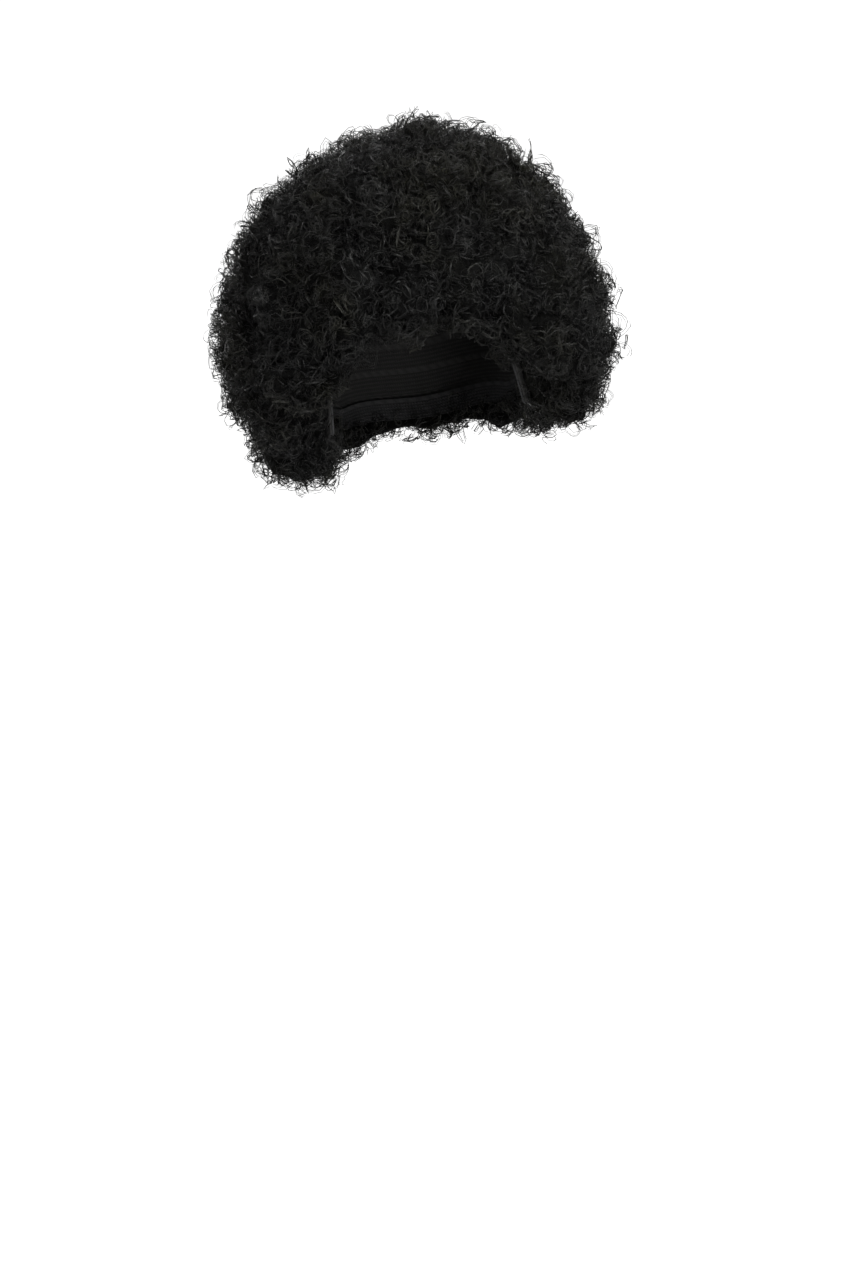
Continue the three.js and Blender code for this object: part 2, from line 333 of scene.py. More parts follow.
@dataclass(frozen=True)
class Head:
    """The head's form: an egg with its widest level below the crown."""

    half_width: float = 76 * MM
    half_length: float = 96 * MM
    rise: float = 88 * MM
    drop: float = 150 * MM
    upper_fullness: float = 2.2
    lower_fullness: float = 2.0
    cap_depth: float = 158 * MM
    rim: tuple[Row, ...] = (
        Row(0, 0.3), Row(24, 0.33), Row(46, 0.52), Row(62, 0.82),
        Row(74, 0.88), Row(100, 0.86), Row(130, 0.95), Row(180, 1),
    )

    def clearance(self, places: np.ndarray) -> np.ndarray:
        """Works out how far each place lies outside the head's form.

        Args:
            places: One row for each place.

        Returns:
            One distance for each place, negative inside.
        """
        out = np.hypot(places[:, 0] / self.half_width, places[:, 1] / self.half_length)
        height = places[:, 2] + self.rise
        above = height >= 0
        power = np.where(above, self.upper_fullness, self.lower_fullness)
        level = np.abs(height) / np.where(above, self.rise, self.drop)
        reach = (out**power + level**power) ** (1 / power)
        radius = np.linalg.norm(places + [0, 0, self.rise], axis=1)
        return radius * (1 - 1 / np.maximum(reach, TINY))

    def meridian_angle(self, height: np.ndarray) -> np.ndarray:
        """Works out how far round from the crown a height lies, as the angle of a plain arc.

        Args:
            height: One height for each place.

        Returns:
            The angles in radians, from 0 at the crown.
        """
        above = height >= -self.rise
        level = np.abs(height + self.rise) / np.where(above, self.rise, self.drop)
        power = np.where(above, self.upper_fullness, self.lower_fullness)
        arc = np.arccos(np.clip(level, 0, 1) ** (power / 2))
        return np.where(above, arc, math.pi - arc)

    def places_on(self, turn: np.ndarray, arc: np.ndarray, growth: float = 0) -> np.ndarray:
        """Gives the places on the head's form, or on the form grown outwards.

        Args:
            turn: Each place's angle from the forehead, in radians.
            arc: How far round from the crown it lies, as meridian_angle gives it.
            growth: How far outside the head's form the places lie.

        Returns:
            One row for each place.
        """
        above = arc <= math.pi / 2
        power = 2 / np.where(above, self.upper_fullness, self.lower_fullness)
        out = np.abs(np.sin(arc)) ** power
        level = np.sign(np.cos(arc)) * np.abs(np.cos(arc)) ** power
        tall = np.where(above, self.rise + growth, self.drop)
        return np.stack([
            (self.half_width + growth) * out * np.sin(turn),
            -(self.half_length + growth) * out * np.cos(turn),
            level * tall - self.rise,
        ], 1)

    def rim_height(self, turn: np.ndarray) -> np.ndarray:
        """Works out the height of the cap's rim from the table, eased from row to row.

        Args:
            turn: Angles from the forehead, in radians.

        Returns:
            One height for each angle.
        """
        angle = np.abs(np.degrees(np.arctan2(np.sin(turn), np.cos(turn))))
        angles = np.array([row.angle for row in self.rim])
        drops = np.array([row.drop for row in self.rim])
        after = np.clip(np.searchsorted(angles, angle), 1, len(angles) - 1)
        share = ease(0, 1, (angle - angles[after - 1]) / (angles[after] - angles[after - 1]))
        return -self.cap_depth * (drops[after - 1] + (drops[after] - drops[after - 1]) * share)

    def turn(self, places: np.ndarray) -> np.ndarray:
        """Gives each place's angle from the middle of the forehead, in radians."""
        return np.arctan2(places[:, 0] / self.half_width, -places[:, 1] / self.half_length)


# Finishes


@dataclass(frozen=True)
class ShadePattern:
    """How the fibre's shade varies: scales in waves a metre, levels as factors of its colour.

    A range is the part of a noise that takes the shade from one level to the other.
    """

    patches: float = 26.0
    patch_detail: float = 3.0
    patch_roughness: float = 0.6
    patch_range: Span = (0.3, 0.7)
    patch_levels: Span = (0.62, 1.42)
    tone_levels: Span = (0.75, 1.25)
    # Painted shade: the fibre grows darker from each clump's middle to its edge, in the gaps between
    # the clumps.
    clump_middle_and_edge: Span = (0.22, 0.6)
    clump_painted_shade_levels: Span = (1.26, 0.36)
    tints: float = 17.0
    tint_range: Span = (0.38, 0.6)
    cool: Colour = (0.95, 1.01, 1.06)
    olive: Colour = (1.03, 1.06, 0.8)
    glints: float = 420.0
    roughness_spread: float = 0.24


@dataclass(frozen=True)
class CurlPattern:
    """The relief of packed curls: scales in waves a metre, and ridges along each pattern.

    A range is the part of a noise that leads from nothing to all.
    """

    wander: float = 110.0
    wander_reach: float = 11 * MM
    rings: float = 105.0
    ring_lines: float = 52.0
    swirls: float = 130.0
    swirl_lines: float = 105.0
    choice: float = 75.0
    choice_range: Span = (0.44, 0.56)
    hollows: float = 190.0
    hollow_range: Span = (0.36, 0.62)
    sharpness: float = 3.0


@dataclass(frozen=True)
class StitchPattern:
    """The relief of knitted cloth and of the rows that are sewn on it."""

    lean: float = 2.2
    seam_share: float = 0.2
    twists: float = 12.0
    twist_levels: Span = (0.5, 1.3)
    roughness: Span = (0.92, 0.8)


SHADE = ShadePattern()
CURLS = CurlPattern()
STITCHES = StitchPattern()

_groups: dict[str, bpy.types.NodeTree] = {}


def shader_group(name: str, inputs: dict[str, str], outputs: dict[str, str]) -> Tree:
    """Starts a shader node group.

    Args:
        name: The group's name.
        inputs: Socket type by name for what goes in.
        outputs: Socket type by name for what comes out.

    Returns:
        The tree, with its group input and output nodes named so.
    """
    group = bpy.data.node_groups.new(name, "ShaderNodeTree")
    for label, kind in inputs.items():
        group.interface.new_socket(label, in_out="INPUT", socket_type=kind)
    for label, kind in outputs.items():
        group.interface.new_socket(label, in_out="OUTPUT", socket_type=kind)
    tree = Tree(group)
    tree.add("NodeGroupInput").name = "Group Input"
    tree.add("NodeGroupOutput").name = "Group Output"
    _groups[name] = group
    return tree


def fibre_shade() -> bpy.types.NodeTree:
    """Builds the group that colours fibre from a darker root to a lighter tip, with lighter and
    warmer patches; the darker roots and clump edges are painted shade.

    Returns:
        The group, which is built at the first call alone.
    """
    name = "fibre shade"
    if name in _groups:
        return _groups[name]
    tree = shader_group(
        name,
        {"Place": "NodeSocketVector", "Along": "NodeSocketFloat", "Tone": "NodeSocketFloat",
         "Root": "NodeSocketColor", "Tip": "NodeSocketColor", "Roughness": "NodeSocketFloat"},
        {"Color": "NodeSocketColor", "Roughness": "NodeSocketFloat"},
    )
    given = tree.tree.nodes["Group Input"].outputs
    given_to = tree.tree.nodes["Group Output"].inputs
    place = given["Place"]
    # Painted shade: the fibre takes the darker root colour where it lies deep in the hair.
    plain = tree.mix(given["Along"], given["Root"], given["Tip"])
    patches = tree.noise(place, SHADE.patches, SHADE.patch_detail, SHADE.patch_roughness)
    level = tree.ranged(patches.outputs["Fac"], *SHADE.patch_range, *SHADE.patch_levels)
    dark, light = SHADE.tone_levels
    tone = tree.maths("MULTIPLY_ADD", given["Tone"], light - dark, dark)
    # Painted shade between the clumps, darker towards each clump's edge.
    painted_valley_shade = tree.ranged(tree.clumps(place), *SHADE.clump_middle_and_edge, *SHADE.clump_painted_shade_levels)
    lightness = tree.maths("MULTIPLY", tree.maths("MULTIPLY", level, tone), painted_valley_shade)
    warmth = tree.noise(place, SHADE.tints, 1.0)
    share = tree.ranged(warmth.outputs["Fac"], *SHADE.tint_range)
    tint = tree.mix(share, (*SHADE.cool, 1), (*SHADE.olive, 1))
    tinted = tree.mix(1.0, plain, tint, "MULTIPLY")
    tree.feed(given_to["Color"], tree.vectors("SCALE", tinted, scale=lightness))
    fine = tree.noise(place, SHADE.glints)
    spread = SHADE.roughness_spread
    rough = tree.maths("MULTIPLY_ADD", fine.outputs["Fac"], spread,
                       tree.maths("SUBTRACT", given["Roughness"], spread / 2))
    tree.feed(given_to["Roughness"], rough)
    return tree.tree


def ridge(tree: Tree, phase: bpy.types.NodeSocket) -> bpy.types.NodeSocket:
    """Adds sharp ridges, one for each turn of the phase, and gives their height."""
    wave = tree.maths("MULTIPLY_ADD", tree.maths("SINE", phase), 0.5, 0.5)
    return tree.maths("POWER", wave, CURLS.sharpness)


def curl_relief() -> bpy.types.NodeTree:
    """Builds the group that puts out the height of packed curls: rings with fibres round them.

    Returns:
        The group, which is built at the first call alone.
    """
    name = "curl relief"
    if name in _groups:
        return _groups[name]
    tree = shader_group(name, {"Place": "NodeSocketVector"}, {"Height": "NodeSocketFloat"})
    place = tree.tree.nodes["Group Input"].outputs["Place"]
    given_to = tree.tree.nodes["Group Output"].inputs
    wander = tree.noise(place, CURLS.wander)
    shift = tree.vectors("SCALE", wander.outputs["Color"], scale=CURLS.wander_reach)
    spot = tree.vectors("ADD", place, shift)
    rings = tree.add("ShaderNodeTexVoronoi", {"Vector": spot, "Scale": CURLS.rings})
    coil = ridge(tree, tree.maths("MULTIPLY", rings.outputs["Distance"], CURLS.ring_lines))
    swirl = tree.noise(spot, CURLS.swirls, 1.0)
    strand = ridge(tree, tree.maths("MULTIPLY", swirl.outputs["Fac"], CURLS.swirl_lines))
    choice = tree.ranged(tree.noise(place, CURLS.choice).outputs["Fac"], *CURLS.choice_range)
    lines = tree.add("ShaderNodeMix", {0: choice, 2: coil, 3: strand})
    depth = tree.ranged(tree.noise(place, CURLS.hollows).outputs["Fac"], *CURLS.hollow_range)
    tree.feed(given_to["Height"], tree.maths("MULTIPLY", lines.outputs[0], depth))
    return tree.tree


def knit_pattern() -> bpy.types.NodeTree:
    """Builds the group for knitted cloth: stitches in columns, crossed by heavier sewn rows.

    Returns:
        The group, which is built at the first call alone.
    """
    name = "knit pattern"
    if name in _groups:
        return _groups[name]
    tree = shader_group(
        name,
        {"Map": "NodeSocketVector", "Rows": "NodeSocketFloat", "Columns": "NodeSocketFloat",
         "Courses": "NodeSocketFloat", "Dark": "NodeSocketColor", "Light": "NodeSocketColor"},
        {"Color": "NodeSocketColor", "Roughness": "NodeSocketFloat",
         "Height": "NodeSocketFloat"},
    )
    given = tree.tree.nodes["Group Input"].outputs
    given_to = tree.tree.nodes["Group Output"].inputs
    parts = tree.add("ShaderNodeSeparateXYZ", {0: given["Map"]}).outputs
    across = tree.maths("MULTIPLY", parts[0], tree.maths("MULTIPLY", given["Columns"], math.tau))
    down = tree.maths("MULTIPLY", parts[1], tree.maths("MULTIPLY", given["Courses"], math.tau))
    wale = tree.maths("ABSOLUTE", tree.maths("SINE", across))
    leaning = tree.maths("MULTIPLY_ADD", wale, STITCHES.lean, down)
    stitch = tree.maths("MULTIPLY_ADD", tree.maths("SINE", leaning), 0.5, 0.5)
    cloth = tree.maths("MULTIPLY", stitch, wale)
    row = tree.maths("FRACT", tree.maths("MULTIPLY", parts[1], given["Rows"]))
    seam = tree.maths("LESS_THAN", row, STITCHES.seam_share)
    low, high = STITCHES.twist_levels
    turning = tree.maths("MULTIPLY_ADD", row, STITCHES.twists,
                         tree.maths("MULTIPLY", across, 0.5))
    twist = tree.maths("MULTIPLY_ADD", tree.maths("SINE", turning),
                       (high - low) / 2, (high + low) / 2)
    height = tree.maths("MAXIMUM", cloth, tree.maths("MULTIPLY", seam, twist))
    deep, raised = STITCHES.roughness
    # Painted shade: the stitches' low parts take the darker colour, the raised parts and rows the
    # lighter one.
    tree.feed(given_to["Color"], tree.mix(height, given["Dark"], given["Light"]))
    tree.feed(given_to["Roughness"], tree.maths("MULTIPLY_ADD", height, raised - deep, deep))
    tree.feed(given_to["Height"], height)
    return tree.tree


@dataclass(frozen=True)
class FibreFinish:
    """Near-black crimped fibre with a soft satin glint."""

    name: str
    # The root colour, darker than the tip, is painted shade.
    root: Colour
    tip: Colour
    roughness: float
    specular: float
    bump: float = 0.0
    bump_height: float = 2 * MM
    even_tone: float = 0.5

    def material(self) -> bpy.types.Material:
        """Makes the material: loose fibre darker towards its root, packed fibre darker in the low
        parts of its relief, both as painted shade.

        Returns:
            The new material.
        """
        material = bpy.data.materials.new(self.name)
        material.use_nodes = True
        tree = Tree(material.node_tree)
        shader = material.node_tree.nodes["Principled BSDF"]
        shader.inputs["Specular IOR Level"].default_value = self.specular
        place = tree.add("ShaderNodeTexCoord").outputs["Object"]
        if self.bump:
            relief = tree.add("ShaderNodeGroup", {"Place": place}, node_tree=curl_relief())
            # The relief's height stands in for the way along the fibre, so its low parts take the
            # darker root colour as painted shade.
            along, tone = relief.outputs["Height"], self.even_tone
            bump = tree.add("ShaderNodeBump", {
                "Strength": self.bump, "Distance": self.bump_height, "Height": along})
            tree.feed(shader.inputs["Normal"], bump.outputs["Normal"])
        else:
            along, tone = (
                tree.add("ShaderNodeAttribute", attribute_name=name).outputs["Fac"]
                for name in ("along", "tone"))
        shade = tree.add("ShaderNodeGroup", {
            "Place": place, "Along": along, "Tone": tone,
            "Root": (*self.root, 1), "Tip": (*self.tip, 1), "Roughness": self.roughness,
        }, node_tree=fibre_shade())
        tree.feed(shader.inputs["Base Color"], shade.outputs["Color"])
        tree.feed(shader.inputs["Roughness"], shade.outputs["Roughness"])
        return material


@dataclass(frozen=True)
class KnitFinish:
    """Black stretch cloth with rows that follow the piece's own map."""

    name: str
    colour: Colour
    rows: float
    columns: float
    courses: float
    bump: float
    bump_height: float = 0.5 * MM
    shadow: float = 0.5
    specular: float = 0.12

    def material(self) -> bpy.types.Material:
        """Makes the material.

        Returns:
            The new material.
        """
        material = bpy.data.materials.new(self.name)
        material.use_nodes = True
        tree = Tree(material.node_tree)
        shader = material.node_tree.nodes["Principled BSDF"]
        shader.inputs["Specular IOR Level"].default_value = self.specular
        spot = tree.add("ShaderNodeUVMap", uv_map=BAKING_MAP).outputs[0]
        knit = tree.add("ShaderNodeGroup", {
            "Map": spot, "Rows": self.rows, "Columns": self.columns, "Courses": self.courses,
            "Dark": tuple(self.shadow * value for value in self.colour) + (1,),
            "Light": (*self.colour, 1),
        }, node_tree=knit_pattern())
        tree.feed(shader.inputs["Base Color"], knit.outputs["Color"])
        tree.feed(shader.inputs["Roughness"], knit.outputs["Roughness"])
        bump = tree.add("ShaderNodeBump", {
            "Strength": self.bump, "Distance": self.bump_height,
            "Height": knit.outputs["Height"]})
        tree.feed(shader.inputs["Normal"], bump.outputs["Normal"])
        return material


# The darker root colours are painted shade, deep in the hair and in the low parts of the packed
# fibre.
RINGLETS = FibreFinish(
    "curled fibre", root=(0.003, 0.0029, 0.0027), tip=(0.0145, 0.014, 0.0123),
    roughness=0.45, specular=0.3).material()
BACKING = FibreFinish(
    "packed fibre", root=(0.0014, 0.0014, 0.0013), tip=(0.0152, 0.0146, 0.0127),
    roughness=0.65, specular=0.08, bump=0.8).material()
CAP_FINISH = KnitFinish(
    "stretch knit", colour=(0.029, 0.0285, 0.028), rows=17, columns=150, courses=110,
    bump=0.5)
BAND_FINISH = KnitFinish(
    "ribbed elastic", colour=(0.035, 0.035, 0.036), rows=1, columns=110, courses=7, bump=0.6)


# Ringlets


@dataclass(frozen=True)
class Ringlet:
    """One curl: a few fibres that coil side by side round one axis."""

    name: str
    radius: float
    height: float
    turns: float
    fibres: int
    thickness: float
    taper: float = 0.0
    bend: float = 0.0
    steps_a_turn: int = 7
    sides: int = 3
    spread: float = 0.16
    turn_loss: float = 0.12
    uneven_radius: float = 0.05
    uneven_height: float = 0.1
    uneven_lift: float = 0.08
    uneven_turn: float = 0.5
    first_seed: int = 100
    first_tone: float = 0.5
    map_edge: float = 0.15
    map_step: float = 0.3
    map_foot: float = 0.03
    map_length: float = 0.94

    def build(self, index: int) -> bpy.types.Object:
        """Coils each fibre with a Screw modifier and joins them.

        Args:
            index: The ringlet's place among its kind, which sets its unevenness.

        Returns:
            The ringlet, with its root at the origin and its axis up.
        """
        rng = np.random.default_rng(self.first_seed + index)
        made = []
        for fibre in range(self.fibres):
            beside = fibre - (self.fibres - 1) / 2
            radius = self.radius * (1 + self.spread * beside
                                    + self.uneven_radius * rng.uniform(-1, 1))
            turns = self.turns * (1 - self.turn_loss * fibre / max(1, self.fibres))
            bpy.ops.mesh.primitive_circle_add(
                vertices=self.sides, radius=self.thickness / 2, rotation=(math.pi / 2, 0, 0),
                location=(radius, 0, 0))
            obj = bpy.context.object
            take(obj)
            bpy.ops.object.transform_apply(location=True, rotation=True, scale=True)
            screw = obj.modifiers.new("coil", "SCREW")
            screw.axis = "Z"
            screw.angle = math.tau * turns
            screw.screw_offset = self.height * (1 + self.uneven_height * rng.uniform(-1, 1))
            screw.steps = screw.render_steps = round(self.steps_a_turn * turns)
            screw.use_smooth_shade = True
            apply_modifiers(obj)
            self.mark(obj.data, fibre)
            self.close_ends(obj)
            turn = rng.uniform(-self.uneven_turn, self.uneven_turn)
            lift = self.height * self.uneven_lift * rng.uniform(-1, 1)
            obj.data.transform(Matrix.Translation((0, 0, lift)) @ Matrix.Rotation(turn, 4, "Z"))
            made.append(obj)
        take(*made)
        if len(made) > 1:
            bpy.ops.object.join()
        whole = bpy.context.object
        whole.name = whole.data.name = self.name
        if self.taper:
            deform = whole.modifiers.new("taper", "SIMPLE_DEFORM")
            deform.deform_method = "TAPER"
            deform.deform_axis = "Z"
            deform.factor = self.taper
        if self.bend:
            deform = whole.modifiers.new("bend", "SIMPLE_DEFORM")
            deform.deform_method = "BEND"
            deform.deform_axis = "X"
            deform.angle = self.bend
        apply_modifiers(whole)
        return whole

    def mark(self, mesh: bpy.types.Mesh, fibre: int) -> None:
        """Writes how far along the fibre each vertex is, a first tone, and the baking map.

        Args:
            mesh: One coiled fibre.
            fibre: The fibre's place in the ringlet.
        """
        steps = len(mesh.vertices) // self.sides
        along = np.repeat(np.arange(steps), self.sides) / (steps - 1)
        write_attribute(mesh, "along", along)
        write_attribute(mesh, "tone", np.full(len(mesh.vertices), self.first_tone))
        layer = mesh.uv_layers.new(name=BAKING_MAP)
        loops = numbers(mesh.loops, "vertex_index")
        u = (fibre + self.map_edge + self.map_step * (loops % self.sides)) / self.fibres
        v = self.map_foot + self.map_length * along[loops]
        layer.data.foreach_set("uv", np.stack([u, v], 1).ravel())

    def close_ends(self, obj: bpy.types.Object) -> None:
        """Draws each end of a fibre in to a point.

        Args:
            obj: One coiled fibre, open at both ends.
        """
        places = corners(obj.data)
        for ring in (slice(0, self.sides), slice(len(places) - self.sides, len(places))):
            places[ring] = places[ring].mean(0)
        move_corners(obj.data, places)
        with editing(obj):
            bpy.ops.mesh.remove_doubles(threshold=TINY)
            bpy.ops.mesh.normals_make_consistent(inside=False)


@dataclass(frozen=True)
class Family:
    """Ringlets that are spread alike: how densely, how large and how they stand."""

    name: str
    kinds: tuple[Ringlet, ...]
    spacing: float
    sizes: Span
    stretch: Span
    upright: float
    jitter: float
    lift: Span
    below: float = 1.0

    def collection(self) -> bpy.types.Collection:
        """Builds each kind once, into a collection that the view layer doesn't show.

        Returns:
            The collection.
        """
        collection = bpy.data.collections.new(self.name)
        for index, kind in enumerate(self.kinds):
            obj = kind.build(index)
            for owner in list(obj.users_collection):
                owner.objects.unlink(obj)
            collection.objects.link(obj)
        return collection


FIBRE = 0.36 * MM
FINE_FIBRE = 0.3 * MM

COILS = Family(
    "coils",
    (
        Ringlet("tight_curl", 2.9 * MM, 7.0 * MM, 2.0, 2, FIBRE, taper=0.25, steps_a_turn=6),
        Ringlet("open_curl", 4.3 * MM, 6.0 * MM, 1.5, 2, FIBRE, taper=-0.25),
        Ringlet("rosette", 4.6 * MM, 3.6 * MM, 1.8, 2, FIBRE, taper=-0.75),
        Ringlet("hook_curl", 3.9 * MM, 6.5 * MM, 1.2, 3, FIBRE, taper=0.3, bend=0.5),
        Ringlet("long_curl", 2.4 * MM, 8.5 * MM, 1.8, 2, FIBRE, bend=0.7, steps_a_turn=6),
        Ringlet("loose_curl", 5.2 * MM, 5.5 * MM, 1.2, 3, FIBRE, taper=-0.4, bend=-0.4,
                steps_a_turn=9),
    ),
    spacing=7.8 * MM, sizes=(0.75, 1.2), stretch=(0.7, 1.1), upright=0.9, jitter=0.9,
    lift=(-1.8 * MM, 2.2 * MM))
LOOPS = Family(
    "loops",
    (
        Ringlet("ring", 3.5 * MM, 1.6 * MM, 1.3, 2, FIBRE, steps_a_turn=6),
        Ringlet("wide_ring", 4.7 * MM, 2.4 * MM, 1.1, 2, FIBRE, steps_a_turn=8),
        Ringlet("small_ring", 2.5 * MM, 1.6 * MM, 1.4, 2, FIBRE, steps_a_turn=6),
        Ringlet("arc", 5.2 * MM, 3.0 * MM, 0.75, 3, FIBRE, steps_a_turn=9),
        Ringlet("double_ring", 3.2 * MM, 3.0 * MM, 1.8, 1, FIBRE, steps_a_turn=6),
    ),
    spacing=3.75 * MM, sizes=(0.7, 1.35), stretch=(0.8, 1.6), upright=0.25, jitter=1.0,
    lift=(0.3 * MM, 7.4 * MM))
STRAYS = Family(
    "strays",
    (
        Ringlet("stray_loop", 3.6 * MM, 2.0 * MM, 1.2, 2, FINE_FIBRE, steps_a_turn=9),
        Ringlet("stray_hook", 4.8 * MM, 3.0 * MM, 1.1, 1, FINE_FIBRE, steps_a_turn=10),
        Ringlet("stray_coil", 2.6 * MM, 6.5 * MM, 1.9, 1, FINE_FIBRE, taper=-0.3),
        Ringlet("wide_stray", 6.4 * MM, 3.0 * MM, 1.1, 2, FINE_FIBRE, steps_a_turn=12),
    ),
    spacing=7.6 * MM, sizes=(0.8, 1.4), stretch=(0.6, 1.1), upright=0.2, jitter=1.0,
    lift=(4.5 * MM, 8.6 * MM))
LOCK_ENDS = Family(
    "lock ends",
    (
        Ringlet("end_swirl", 6.0 * MM, 5.0 * MM, 1.7, 3, FIBRE, taper=-0.6, steps_a_turn=10),
        Ringlet("end_loop", 5.4 * MM, 4.5 * MM, 1.1, 3, FIBRE, steps_a_turn=10),
        Ringlet("end_wisp", 3.0 * MM, 13.0 * MM, 1.4, 2, FINE_FIBRE, bend=0.5, steps_a_turn=9),
    ),
    spacing=11.5 * MM, sizes=(0.8, 1.3), stretch=(0.8, 1.2), upright=0.6, jitter=0.8,
    lift=(1.0 * MM, 6.0 * MM), below=-128 * MM)
FAMILIES = (COILS, LOOPS, STRAYS, LOCK_ENDS)


# The body of hair under the ringlets


@dataclass
class HairMass:
    """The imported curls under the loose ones, as one body that is cut into the sections.

    A span is where a change fades in: from nothing at its first value to all at its second.
    """

    head: Head
    voxel: float = 4.0 * MM
    swell: float = 0.4 * MM
    rounding: int = 20
    rounding_strength: float = 0.5
    standing: float = -4.0 * MM
    loft: Span = (3 * MM, 16 * MM)
    clump_relief: float = 10.5 * MM
    clump_level: float = 0.42
    beads_a_clump: float = 2.2
    bead_share: float = 0.35
    bead_level: float = 0.4
    tuft: float = 31 * MM
    tuft_relief: float = 9 * MM
    crown_shift: float = 4.2 * MM
    crown_shift_levels: Span = (-60 * MM, 10 * MM)
    crown_rise: float = 3.5 * MM
    crown_rise_inside: Span = (5 * MM, 35 * MM)
    crown_rise_outside: Span = (75 * MM, 55 * MM)
    crown_rise_levels: Span = (10 * MM, 40 * MM)
    side_swell: float = 4.2 * MM
    side_reach: Span = (60 * MM, 110 * MM)
    right_swell_level: float = -75 * MM
    left_swell_level: float = -122 * MM
    swell_height: float = 42 * MM
    fringe_fall: float = 8 * MM
    fringe_angles: Span = (80.0, 48.0)
    fringe_levels: Span = (-20 * MM, -46 * MM)
    lobe_rise: float = 9 * MM
    lobe_reach: Span = (30 * MM, 85 * MM)
    lobe_levels: Span = (-112 * MM, -160 * MM)
    cap_gap: float = 2.4 * MM
    against_cap: float = 5 * MM
    deep_in_cap: float = 7 * MM
    deep_above_rim: float = 10 * MM
    on_cut: float = 0.02 * MM
    crown_level: float = -22 * MM
    nape_level: float = -98 * MM
    front_half: float = 50.0
    back_half: float = 48.0
    seam: float = 0.3 * MM

    def build(self) -> bpy.types.Object:
        """Joins the sections' solids, rounds their locks and settles them into clumps.

        Returns:
            The whole body, which the sections are cut from.
        """
        copies = [put_in_scene("hair_mass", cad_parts[section.value].data.copy())
                  for section in Section]
        take(*copies)
        bpy.ops.object.join()
        mass = bpy.context.object
        mass.data.materials.clear()
        with editing(mass):
            bpy.ops.mesh.remove_doubles(threshold=WELD)
        swell = mass.modifiers.new("close_seams", "DISPLACE")
        swell.strength = self.swell
        swell.mid_level = 0
        remesh = mass.modifiers.new("weld", "REMESH")
        remesh.mode = "VOXEL"
        remesh.voxel_size = self.voxel
        smooth = mass.modifiers.new("round_locks", "SMOOTH")
        smooth.factor = self.rounding_strength
        smooth.iterations = self.rounding
        apply_modifiers(mass)
        away = self.head.clearance(corners(mass.data))
        write_attribute(mass.data, "loft", ease(*self.loft, away))
        self.add_clumps(mass)
        mass.data.attributes.remove(mass.data.attributes["loft"])
        self.settle_sides(mass)
        self.settle_edges(mass)
        self.clear_cap(mass)
        return mass

    def add_clumps(self, mass: bpy.types.Object) -> None:
        """Lets the body stand as high as under the ringlets, and gathers it into clumps.

        Args:
            mass: The whole body, with its loft in an attribute.
        """
        tree, given = geometry_tree("settle hair")
        loft = tree.add("GeometryNodeInputNamedAttribute", {"Name": "loft"}, data_type="FLOAT")
        place = tree.add("GeometryNodeInputPosition").outputs[0]
        normal = tree.add("GeometryNodeInputNormal").outputs[0]
        small = tree.add("ShaderNodeTexVoronoi", {
            "Vector": place, "Scale": self.beads_a_clump / CLUMP}, feature="F1")
        mound = tree.maths("SUBTRACT", self.clump_level, tree.clumps(place))
        bead = tree.maths("SUBTRACT", self.bead_level, small.outputs["Distance"])
        rise = tree.maths("MULTIPLY_ADD", mound, self.clump_relief,
                          tree.maths("MULTIPLY", bead, self.bead_share * self.clump_relief))
        tufts = tree.noise(place, 1 / self.tuft, 1.0)
        swell = tree.maths("SUBTRACT", tufts.outputs["Fac"], 0.5)
        rise = tree.maths("MULTIPLY_ADD", swell, self.tuft_relief, rise)
        rise = tree.maths("ADD", rise, self.standing)
        offset = tree.vectors("SCALE", normal, scale=tree.maths(
            "MULTIPLY", rise, loft.outputs["Attribute"]))
        moved = tree.add("GeometryNodeSetPosition", {"Geometry": given, "Offset": offset})
        run_nodes(mass, tree, moved.outputs[0])

    def settle_sides(self, mass: bpy.types.Object) -> None:
        """Lets the crown lean to the wearer's left, and each side swell at its fullest level.

        Args:
            mass: The whole body, whose inner side stays where it is.
        """
        places = corners(mass.data)
        across, height = places[:, 0].copy(), places[:, 2].copy()
        loft = ease(*self.loft, self.head.clearance(places))
        fullest = np.where(across < 0, self.right_swell_level, self.left_swell_level)
        swell = np.clip(1 - ((height - fullest) / self.swell_height) ** 2, 0, 1)
        swell *= np.sign(across) * ease(*self.side_reach, np.abs(across))
        lean = ease(*self.crown_shift_levels, height)
        rise = ease(*self.crown_rise_inside, across) * ease(*self.crown_rise_outside, across)
        rise *= ease(*self.crown_rise_levels, height)
        places[:, 0] += loft * (self.side_swell * swell + self.crown_shift * lean)
        places[:, 2] += loft * self.crown_rise * rise
        move_corners(mass.data, places)

    def settle_edges(self, mass: bpy.types.Object) -> None:
        """Lets the hair over the brow hang past the rim, and the left side end a little higher.

        Args:
            mass: The whole body.
        """
        places = corners(mass.data)
        turn = np.abs(np.degrees(self.head.turn(places)))
        fringe = ease(*self.fringe_angles, turn) * ease(*self.fringe_levels, places[:, 2])
        lobe = ease(*self.lobe_reach, places[:, 0]) * ease(*self.lobe_levels, places[:, 2])
        places[:, 2] += self.lobe_rise * lobe - self.fringe_fall * fringe
        move_corners(mass.data, places)

    def clear_cap(self, mass: bpy.types.Object) -> None:
        """Draws whatever lies in the cap's wall or inside it out to just over the cap.

        Args:
            mass: The whole body.
        """
        places = corners(mass.data)
        short = np.maximum(self.cap_gap - self.head.clearance(places), 0)
        out = places + [0, 0, self.head.rise]
        out /= np.maximum(np.linalg.norm(out, axis=1, keepdims=True), TINY)
        move_corners(mass.data, places + out * short[:, None])

